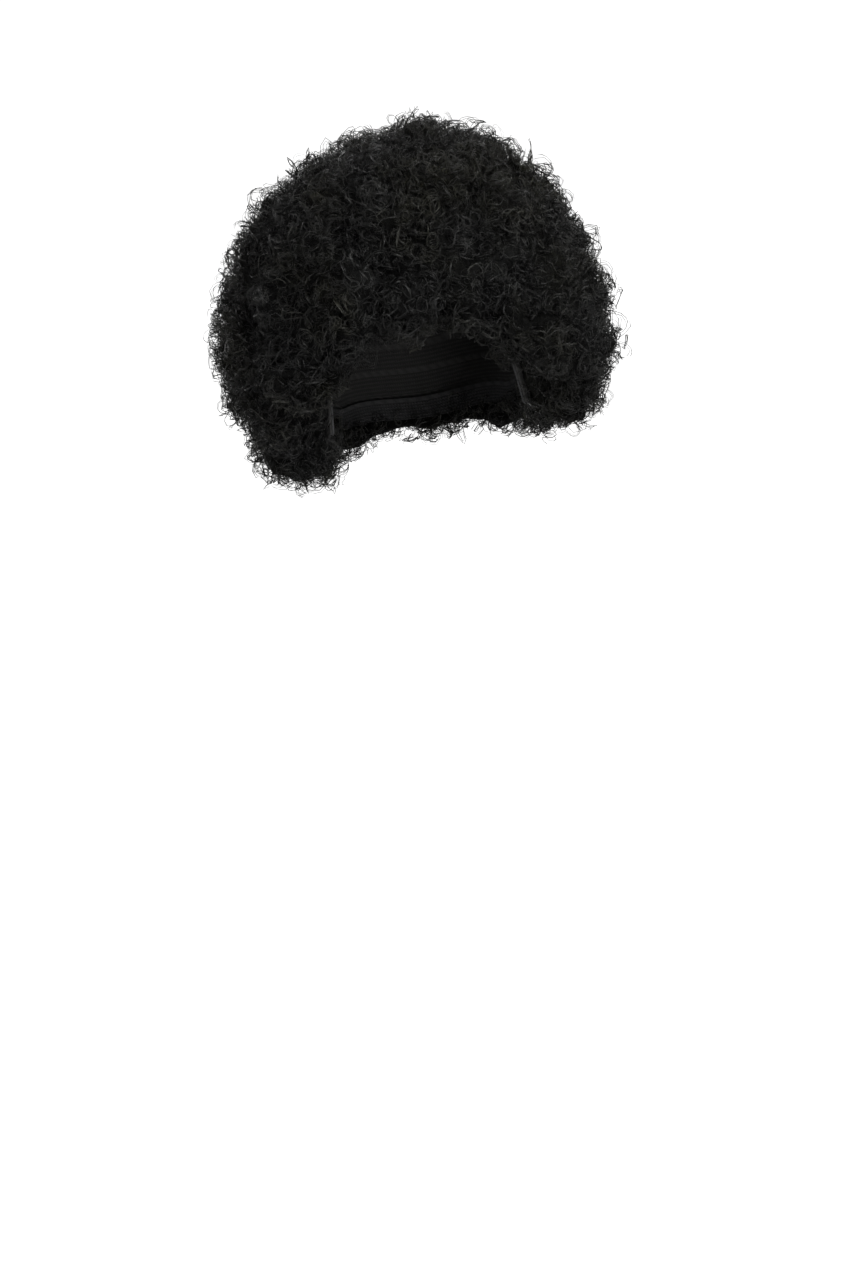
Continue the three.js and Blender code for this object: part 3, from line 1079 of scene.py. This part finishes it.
    def planes(self, section: Section) -> list[tuple[Vector, Vector]]:
        """Gives the planes that bound a section, each as a point and the way out of it.

        Args:
            section: The section to cut out.

        Returns:
            Pairs of a point on the plane and its outward normal.
        """
        half = self.seam / 2
        crown = (Vector((0, 0, self.crown_level - half)), UP)
        if section is Section.CROWN:
            return [(Vector((0, 0, self.crown_level + half)), -UP)]
        spans = {
            Section.FRONT: (-self.front_half, self.front_half),
            Section.LEFT_SIDE: (self.front_half, 180 - self.back_half),
            Section.RIGHT_SIDE: (self.back_half - 180, -self.front_half),
            Section.BACK: (180 - self.back_half, 180 + self.back_half),
            Section.NAPE: (180 - self.back_half, 180 + self.back_half),
        }
        low, high = (math.radians(angle) for angle in spans[section])
        before = Vector((-math.cos(low), -math.sin(low), 0))
        after = Vector((math.cos(high), math.sin(high), 0))
        found = [(before * -half, before), (after * -half, after)]
        if section is Section.NAPE:
            return [*found, (Vector((0, 0, self.nape_level - half)), UP)]
        if section is Section.BACK:
            found.append((Vector((0, 0, self.nape_level + half)), -UP))
        return [*found, crown]

    def cut(self, mass: bpy.types.Object, section: Section) -> bpy.types.Object:
        """Cuts one section out of the body, with its cut sides closed and marked as hidden.

        Args:
            mass: The whole body.
            section: The section to cut out.

        Returns:
            The section's own object, its hidden sides in the second material slot.
        """
        piece = put_in_scene(section.value.replace("hair", "backing"), mass.data.copy())
        piece.data.materials.append(BACKING)
        piece.data.materials.append(BACKING)
        for point, way in self.planes(section):
            with editing(piece):
                bpy.ops.mesh.bisect(
                    plane_co=point, plane_no=way, use_fill=True, clear_outer=True)
        self.mark_hidden(piece, section)
        return piece

    def mark_hidden(self, piece: bpy.types.Object, section: Section) -> None:
        """Puts the cut sides, and the side against the cap, in the second material slot.

        Args:
            piece: The section's own object.
            section: Which section it is.
        """
        mesh = piece.data
        places = corners(mesh)
        away = self.head.clearance(places)
        above_rim = places[:, 2] - self.head.rim_height(self.head.turn(places))
        masks = [(away < self.against_cap) & (above_rim > 0)]
        for point, way in self.planes(section):
            masks.append(np.abs((places - np.array(point)) @ np.array(way)) < self.on_cut)
        deep = (away < self.deep_in_cap) & (above_rim > self.deep_above_rim)
        loops = numbers(mesh.loops, "vertex_index")
        starts = numbers(mesh.polygons, "loop_start")
        hidden = np.maximum.reduceat(deep[loops].astype(int), starts)
        for mask in masks:
            hidden |= np.minimum.reduceat(mask[loops].astype(int), starts)
        mesh.polygons.foreach_set("material_index", hidden.astype(np.int32))


# Growing ringlets on a section


class Draw(IntEnum):
    """What a family's random draws are for, as steps from its first seed."""

    PLACE = 0
    LEAN = 1
    SPIN = 2
    LIFT = 3
    KIND = 4
    SIZE = 5
    TONE = 5
    LENGTH = 6


@dataclass
class CurlGrowth:
    """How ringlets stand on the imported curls: how they lean, droop and frizz."""

    collections: dict[str, bpy.types.Collection]
    crowding: float = 1.9
    lean: float = 0.8
    droop: float = 0.22
    frizz: float = 2.6 * MM
    frizz_waves: float = 135.0
    cells: int = 88
    cell_share: float = 0.94
    family_seeds: int = 7

    def ringlets(self, seed: int, side: int) -> tuple[Tree, bpy.types.NodeSocket]:
        """Makes the node tree that grows a section's ringlets.

        Args:
            seed: What sets the section apart from the others.
            side: 1 or -1 for the half on the wearer's left or right, or 0 for all of it.

        Returns:
            The tree, and the socket of the ringlets.
        """
        tree, given = geometry_tree("grow curls")
        outside = self.outside(tree, side)
        joined = tree.add("GeometryNodeJoinGeometry")
        for band, family in enumerate(FAMILIES):
            first = seed + self.family_seeds * band
            grown = self.scatter(tree, given, outside, family, first, band)
            tree.tree.links.new(grown, joined.inputs[0])
        place = tree.add("GeometryNodeInputPosition").outputs[0]
        waves = tree.noise(place, self.frizz_waves, 1.0)
        bend = tree.vectors("SUBTRACT", waves.outputs["Color"], (0.5, 0.5, 0.5))
        frizzed = tree.add("GeometryNodeSetPosition", {
            "Geometry": joined.outputs[0],
            "Offset": tree.vectors("SCALE", bend, scale=2 * self.frizz)})
        return tree, frizzed.outputs[0]

    @staticmethod
    def outside(tree: Tree, side: int) -> bpy.types.NodeSocket:
        """Adds the nodes that pick the outside faces, on one side or on both.

        Args:
            tree: The tree to add to.
            side: 1 or -1 for one half, or 0 for all.

        Returns:
            The socket that is 1 where ringlets grow.
        """
        slot = tree.add("GeometryNodeInputMaterialIndex").outputs[0]
        place = tree.add("GeometryNodeInputPosition").outputs[0]
        across = tree.add("ShaderNodeSeparateXYZ", {0: place}).outputs[0]
        between_slots, midline = 0.5, -1e-9
        shown = tree.maths("LESS_THAN", slot, between_slots)
        here = tree.maths("GREATER_THAN", tree.maths("MULTIPLY", across, side), midline)
        return tree.maths("MULTIPLY", shown, here)

    def scatter(self, tree: Tree, given: bpy.types.NodeSocket, outside: bpy.types.NodeSocket,
                family: Family, seed: int, band: int) -> bpy.types.NodeSocket:
        """Adds the nodes that spread one family over the section's outside.

        Args:
            tree: The tree to add to.
            given: The section's geometry.
            outside: What picks the faces that carry ringlets.
            family: The ringlets, and how they are spread.
            seed: The first of the family's seeds.
            band: Which part of the baking map these ringlets take.

        Returns:
            The socket with the realized ringlets.
        """
        place = tree.add("GeometryNodeInputPosition").outputs[0]
        low_enough = tree.maths("LESS_THAN", tree.height(place), family.below)
        points = tree.add("GeometryNodeDistributePointsOnFaces", {
            "Mesh": given, "Selection": tree.maths("MULTIPLY", outside, low_enough),
            "Distance Min": family.spacing, "Density Max": self.crowding / family.spacing**2,
            "Seed": seed + Draw.PLACE}, distribute_method="POISSON")
        normal = points.outputs["Normal"]
        cells = tree.add("ShaderNodeTexVoronoi", {"Vector": place, "Scale": 1 / CLUMP})
        gather = tree.vectors("SCALE", tree.vectors(
            "SUBTRACT", cells.outputs["Position"], place), scale=2 * self.lean / CLUMP)
        way = tree.vectors("ADD", tree.vectors("SCALE", normal, scale=family.upright), gather)
        way = tree.vectors("ADD", way,
                           self.random_vector(tree, seed + Draw.LEAN, family.jitter))
        way = tree.vectors("ADD", way, (0, 0, -self.droop))
        upright = tree.add("FunctionNodeAlignRotationToVector", {"Vector": way}, axis="Z")
        spin = self.random_number(tree, seed + Draw.SPIN, (0, math.tau))
        about = tree.add("FunctionNodeAxisAngleToRotation", {"Axis": (0, 0, 1), "Angle": spin})
        pose = tree.add("FunctionNodeRotateRotation", {
            0: upright.outputs[0], 1: about.outputs[0]}, rotation_space="LOCAL")
        lift = self.random_number(tree, seed + Draw.LIFT, family.lift)
        lifted = tree.add("GeometryNodeSetPosition", {
            "Geometry": points.outputs["Points"],
            "Offset": tree.vectors("SCALE", normal, scale=lift)})
        choice = self.random_number(tree, seed + Draw.KIND, (0, len(family.kinds) - 1), "INT")
        size = self.random_number(tree, seed + Draw.SIZE, family.sizes)
        length = tree.maths("MULTIPLY", size,
                            self.random_number(tree, seed + Draw.LENGTH, family.stretch))
        source = tree.add("GeometryNodeCollectionInfo", {
            "Collection": self.collections[family.name], "Separate Children": True,
            "Reset Children": True})
        grown = tree.add("GeometryNodeInstanceOnPoints", {
            "Points": lifted.outputs[0], "Instance": source.outputs[0], "Pick Instance": True,
            "Instance Index": choice, "Rotation": pose.outputs[0],
            "Scale": tree.add("ShaderNodeCombineXYZ", {0: size, 1: size, 2: length}).outputs[0]})
        return self.laid_on_map(tree, grown.outputs[0], seed, band)

    def laid_on_map(self, tree: Tree, grown: bpy.types.NodeSocket, seed: int,
                    band: int) -> bpy.types.NodeSocket:
        """Adds the nodes that give each ringlet its tone and its own cell of the baking map.

        Args:
            tree: The tree to add to.
            grown: The ringlets, not yet realized.
            seed: The family's first seed.
            band: Which part of the map the cells lie in.

        Returns:
            The socket with the realized ringlets.
        """
        columns = self.cells // len(FAMILIES)
        number = tree.add("GeometryNodeInputIndex").outputs[0]
        column = tree.maths("ADD", tree.maths("MODULO", number, columns), band * columns)
        line = tree.maths("FLOOR", tree.maths("DIVIDE", number, columns))
        corner = tree.add("ShaderNodeCombineXYZ", {0: column, 1: line}).outputs[0]
        own_tone = self.random_number(tree, seed + Draw.TONE, (0, 1))
        kept = self.store(tree, grown, "corner", corner, "FLOAT_VECTOR", "INSTANCE")
        kept = self.store(tree, kept, "own_tone", own_tone, "FLOAT", "INSTANCE")
        real = tree.add("GeometryNodeRealizeInstances", {0: kept}).outputs[0]
        toned = self.store(tree, real, "tone", self.read(tree, "own_tone", "FLOAT"),
                           "FLOAT", "POINT")
        within = tree.vectors("SCALE", self.read(tree, BAKING_MAP, "FLOAT_VECTOR"),
                              scale=self.cell_share)
        spot = tree.vectors("SCALE", tree.vectors(
            "ADD", within, self.read(tree, "corner", "FLOAT_VECTOR")), scale=1 / self.cells)
        laid = self.store(tree, toned, BAKING_MAP, spot, "FLOAT2", "CORNER")
        for name in ("corner", "own_tone"):
            laid = tree.add("GeometryNodeRemoveAttribute", {
                "Geometry": laid, "Name": name}).outputs[0]
        return laid

    @staticmethod
    def read(tree: Tree, name: str, kind: str) -> bpy.types.NodeSocket:
        """Adds the reading of an attribute and gives its socket."""
        return tree.add("GeometryNodeInputNamedAttribute", {"Name": name}, data_type=kind).outputs[0]

    @staticmethod
    def store(tree: Tree, geometry: bpy.types.NodeSocket, name: str, value: bpy.types.NodeSocket,
              kind: str, domain: str) -> bpy.types.NodeSocket:
        """Adds the storing of an attribute.

        Args:
            tree: The tree to add to.
            geometry: What the attribute is stored on.
            name: The attribute's name.
            value: The socket with its values.
            kind: Its data type.
            domain: What each value belongs to.

        Returns:
            The socket with the geometry that carries it.
        """
        node = tree.add("GeometryNodeStoreNamedAttribute", {
            "Geometry": geometry, "Name": name, "Value": value}, data_type=kind, domain=domain)
        return node.outputs[0]

    @staticmethod
    def random_number(tree: Tree, seed: int, span: Span,
                      kind: str = "FLOAT") -> bpy.types.NodeSocket:
        """Adds a random number for each ringlet.

        Args:
            tree: The tree to add to.
            seed: The draw's seed.
            span: The lowest and the highest number.
            kind: The node's data type, FLOAT or INT.

        Returns:
            The number's socket.
        """
        node = tree.add("FunctionNodeRandomValue", {"Seed": seed}, data_type=kind)
        plain = "INT" if kind == "INT" else "VALUE"
        lowest, highest = [s for s in node.inputs if s.type == plain][:2]
        tree.feed(lowest, span[0])
        tree.feed(highest, span[1])
        return socket_named(node, "Value", plain)

    @staticmethod
    def random_vector(tree: Tree, seed: int, reach: float) -> bpy.types.NodeSocket:
        """Adds a random vector for each ringlet and gives its socket."""
        node = tree.add("FunctionNodeRandomValue", {
            "Min": (-reach,) * 3, "Max": (reach,) * 3, "Seed": seed}, data_type="FLOAT_VECTOR")
        return socket_named(node, "Value", "VECTOR")

    def grow(self, backing: bpy.types.Object, name: str, seed: int,
             side: int = 0) -> bpy.types.Object:
        """Grows the ringlets of one section as one mesh.

        Args:
            backing: The section's packed curls.
            name: The new piece's name.
            seed: What sets the section apart.
            side: 1 or -1 for one half of it, or 0 for all of it.

        Returns:
            The ringlets' own object.
        """
        piece = put_in_scene(name, backing.data.copy())
        run_nodes(piece, *self.ringlets(seed, side))
        piece.data.materials.clear()
        piece.data.materials.append(RINGLETS)
        faces = piece.data.polygons
        faces.foreach_set("material_index", np.zeros(len(faces), np.int32))
        faces.foreach_set("use_smooth", np.ones(len(faces), bool))
        return piece


# The cap and its band


def lay_on_map(obj: bpy.types.Object, turns: np.ndarray, shares: np.ndarray) -> None:
    """Writes a piece's baking map from each vertex's way round and way down.

    Args:
        obj: The piece.
        turns: How far round each vertex lies, from 0 to 1.
        shares: How far down it lies, from 0 to 1.
    """
    mesh = obj.data
    for layer in list(mesh.uv_layers):
        mesh.uv_layers.remove(layer)
    layer = mesh.uv_layers.new(name=BAKING_MAP)
    loops = numbers(mesh.loops, "vertex_index")
    starts = numbers(mesh.polygons, "loop_start")
    sizes = numbers(mesh.polygons, "loop_total")
    u, v = turns[loops].copy(), shares[loops]
    pole = v < TINY
    highest = np.repeat(np.maximum.reduceat(np.where(pole, 0, u), starts), sizes)
    last_quarter, first_quarter = highest > 0.75, u < 0.25
    u[last_quarter & first_quarter] += 1
    u[pole] = highest[pole]
    map_width = 1.02
    layer.data.foreach_set("uv", np.stack([u / map_width, v], 1).ravel())


@dataclass
class StretchCap:
    """The knitted cap that the hair is sewn to, open at the face and underneath."""

    head: Head
    wall: float = 1.6 * MM
    columns: int = 84
    rings: int = 26

    def build(self) -> bpy.types.Object:
        """Shapes half a sphere to the head down to the rim, and gives it its wall.

        Returns:
            The cap.
        """
        bpy.ops.mesh.primitive_uv_sphere_add(
            segments=self.columns, ring_count=2 * self.rings, radius=1)
        cap = bpy.context.object
        cap.name = cap.data.name = "knitted_cap"
        with editing(cap):
            bpy.ops.mesh.bisect(plane_co=(0, 0, 0), plane_no=(0, 0, -1), clear_outer=True)
        places = corners(cap.data)
        turn = np.arctan2(places[:, 0], -places[:, 1])
        share = np.arccos(np.clip(places[:, 2], 0, 1)) / (math.pi / 2)
        lowest = self.head.meridian_angle(self.head.rim_height(turn))
        move_corners(cap.data, self.head.places_on(turn, share * lowest))
        lay_on_map(cap, turn / math.tau + 0.5, share)
        wall = cap.modifiers.new("wall", "SOLIDIFY")
        wall.thickness = self.wall
        wall.offset = 1
        apply_modifiers(cap)
        bpy.ops.object.shade_smooth()
        cap.data.materials.append(CAP_FINISH.material())
        return cap


@dataclass
class RimBand:
    """The elastic tape sewn just inside the cap's rim."""

    head: Head
    width: float = 14 * MM
    wall: float = 1.2 * MM
    clearance: float = 0.3 * MM
    columns: int = 192
    rows: int = 8
    pull: float = 0.25 * MM
    gathers: int = 46
    crease: float = math.radians(50)

    def build(self) -> bpy.types.Object:
        """Wraps a grid round the head along the rim, gathers it and gives it its wall.

        Returns:
            The band.
        """
        bpy.ops.mesh.primitive_grid_add(
            x_subdivisions=self.columns, y_subdivisions=self.rows, size=2)
        band = bpy.context.object
        band.name = band.data.name = "elastic_band"
        places = corners(band.data)
        round_share = (places[:, 0] + 1) / 2
        up_share = (places[:, 1] + 1) / 2
        turn = (round_share * 2 - 1) * math.pi
        arc = self.head.meridian_angle(self.head.rim_height(turn) + up_share * self.width)
        laid = self.head.places_on(turn, arc, -self.clearance)
        gather = self.pull * np.sin(turn * self.gathers) ** 2 * np.sin(up_share * math.pi)
        laid[:, :2] *= (1 - gather / self.head.half_width)[:, None]
        move_corners(band.data, laid)
        lay_on_map(band, round_share, 1 - up_share)
        with editing(band):
            bpy.ops.mesh.remove_doubles(threshold=WELD)
            bpy.ops.mesh.normals_make_consistent(inside=False)
        wall = band.modifiers.new("wall", "SOLIDIFY")
        wall.thickness = self.wall
        wall.offset = -1
        apply_modifiers(band)
        bpy.ops.object.shade_smooth_by_angle(angle=self.crease)
        band.data.materials.append(BAND_FINISH.material())
        return band


# Studio


@dataclass(frozen=True)
class Lamp:
    """One round area light that faces the wig."""

    name: str
    place: tuple[float, float, float]
    size: float
    power: float

    def build(self, target: Vector) -> None:
        """Adds the light.

        Args:
            target: What it faces.
        """
        data = bpy.data.lights.new(self.name, "AREA")
        data.shape = "DISK"
        data.size = self.size
        data.energy = self.power
        light = put_in_scene(self.name, data)
        light.location = self.place
        light.rotation_mode = "QUATERNION"
        light.rotation_quaternion = (target - light.location).to_track_quat("-Z", "Y")


@dataclass
class Studio:
    """The camera at the photograph's angle, the pale floor and the soft lights."""

    target: Vector = field(default_factory=lambda: Vector((0, 0, -75 * MM)))
    target_pixel: Span = (413.0, 325.0)
    frame_pixels: Span = (853.0, 1280.0)
    millimetres_a_pixel: float = 0.66
    distance: float = 2.6
    elevation: float = 12.0
    roll: float = 9.5
    sensor: float = 36.0
    lamps: tuple[Lamp, ...] = (
        Lamp("key", (0.98, -1.05, 0.82), 0.9, 39.0),
        Lamp("fill", (-1.2, -1.0, 0.25), 1.0, 15.0),
        Lamp("back", (0.4, 1.5, 0.75), 1.6, 18.0),
        Lamp("rear", (-0.5, 1.5, -0.15), 1.5, 24.0),
        Lamp("low", (0.7, -1.05, -1.05), 0.8, 11.0),
    )
    sky_heights: Span = (-0.5, 1.0)
    sky_levels: Span = (0.1, 0.38)
    backdrop_level: float = 1.1
    floor_level: float = -2.4
    floor_size: float = 30.0
    floor_tones: Span = (0.6, 0.63)
    floor_mottle: float = 2.0
    floor_roughness: float = 0.9

    def build(self) -> None:
        """Builds the camera, the sky, the lights and the floor."""
        self.add_camera()
        self.add_sky()
        for lamp in self.lamps:
            lamp.build(self.target)
        self.add_floor()

    def add_camera(self) -> None:
        """Adds the camera, so that the wig stands in the frame as it does in the photograph."""
        data = bpy.data.cameras.new("camera")
        camera = put_in_scene("camera", data)
        bpy.context.scene.camera = camera
        wide, tall = self.frame_pixels
        data.sensor_width = self.sensor
        focal = self.distance / (self.millimetres_a_pixel * MM)
        data.lens = focal / tall * data.sensor_width
        across = self.target_pixel[0] - wide / 2
        up = tall / 2 - self.target_pixel[1]
        seen = Vector((across, up, -focal)).normalized()
        roll = math.radians(self.roll)
        head_up = Vector((-math.sin(roll), math.cos(roll), 0))
        head_up = (head_up - seen * head_up.dot(seen)).normalized()
        tilt = math.radians(self.elevation)
        way = Vector((0, math.cos(tilt), -math.sin(tilt)))
        way_up = Vector((0, math.sin(tilt), math.cos(tilt)))
        seen_frame = Matrix((seen, head_up, seen.cross(head_up))).transposed()
        true_frame = Matrix((way, way_up, way.cross(way_up))).transposed()
        turn = true_frame @ seen_frame.transposed()
        camera.matrix_world = Matrix.Translation(
            self.target - way * self.distance) @ turn.to_4x4()

    def add_sky(self) -> None:
        """Adds a dim sky that is lighter above, and that the camera sees as a white backdrop."""
        world = bpy.data.worlds.new("studio")
        bpy.context.scene.world = world
        world.use_nodes = True
        tree = Tree(world.node_tree)
        backdrop = world.node_tree.nodes["Background"]
        seen = tree.add("ShaderNodeLightPath").outputs["Is Camera Ray"]
        way = tree.add("ShaderNodeTexCoord").outputs["Generated"]
        sky = tree.ranged(tree.height(way), *self.sky_heights, *self.sky_levels)
        white = tree.maths("MULTIPLY", seen, self.backdrop_level)
        tree.feed(backdrop.inputs["Color"], (1, 1, 1, 1))
        tree.feed(backdrop.inputs["Strength"], tree.maths("MAXIMUM", white, sky))

    def add_floor(self) -> None:
        """Adds the pale floor, far below the wig."""
        bpy.ops.mesh.primitive_plane_add(
            size=self.floor_size, location=(0, 0, self.floor_level))
        floor = bpy.context.object
        floor.name = "floor"
        material = bpy.data.materials.new("pale floor")
        material.use_nodes = True
        tree = Tree(material.node_tree)
        shader = material.node_tree.nodes["Principled BSDF"]
        place = tree.add("ShaderNodeTexCoord").outputs["Object"]
        darker, paler = ((tone, tone, tone, 1) for tone in self.floor_tones)
        mottle = tree.noise(place, self.floor_mottle).outputs["Fac"]
        pale = tree.mix(mottle, darker, paler)
        tree.feed(shader.inputs["Base Color"], pale)
        tree.feed(shader.inputs["Emission Color"], (1, 1, 1, 1))
        seen = tree.add("ShaderNodeLightPath").outputs["Is Camera Ray"]
        tree.feed(shader.inputs["Emission Strength"], seen)
        shader.inputs["Roughness"].default_value = self.floor_roughness
        floor.data.materials.append(material)


def hand_over(piece: bpy.types.Object, node: str | None = None) -> int:
    """Ties a finished piece to the wig's body, and hides the solid that it stands for.

    Args:
        piece: The finished piece.
        node: The solid that the piece stands for, if there is one.

    Returns:
        How many triangles the piece has.
    """
    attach(piece, "root")
    if node:
        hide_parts(node)
    count = triangles(piece)
    log.info("%s: %d triangles", piece.name, count)
    return count


def main() -> None:
    """Builds the wig's pieces in order, and the studio."""
    logging.basicConfig(level=logging.INFO, format="%(name)s: %(message)s")
    bpy.context.scene.view_settings.view_transform = "Standard"
    head = Head()
    hair = HairMass(head)
    mass = hair.build()
    log.info("hair mass: %d triangles", triangles(mass))
    growth = CurlGrowth({family.name: family.collection() for family in FAMILIES})
    made = [hand_over(StretchCap(head).build(), "wig_cap"),
            hand_over(RimBand(head).build(), "rim_band")]
    section_seeds, side_seeds = 100, 40
    for number, section in enumerate(Section, 1):
        backing = hair.cut(mass, section)
        made.append(hand_over(backing, section.value))
        name = section.value.replace("hair", "curls")
        halves = {f"left_{name}": 1, f"right_{name}": -1}
        for piece, side in (halves if section is Section.CROWN else {name: 0}).items():
            seed = section_seeds * number + side_seeds * side
            made.append(hand_over(growth.grow(backing, piece, seed, side)))
    log.info("in all: %d triangles", sum(made))
    bpy.data.objects.remove(mass)
    Studio().build()


if __name__ == "__main__":
    main()
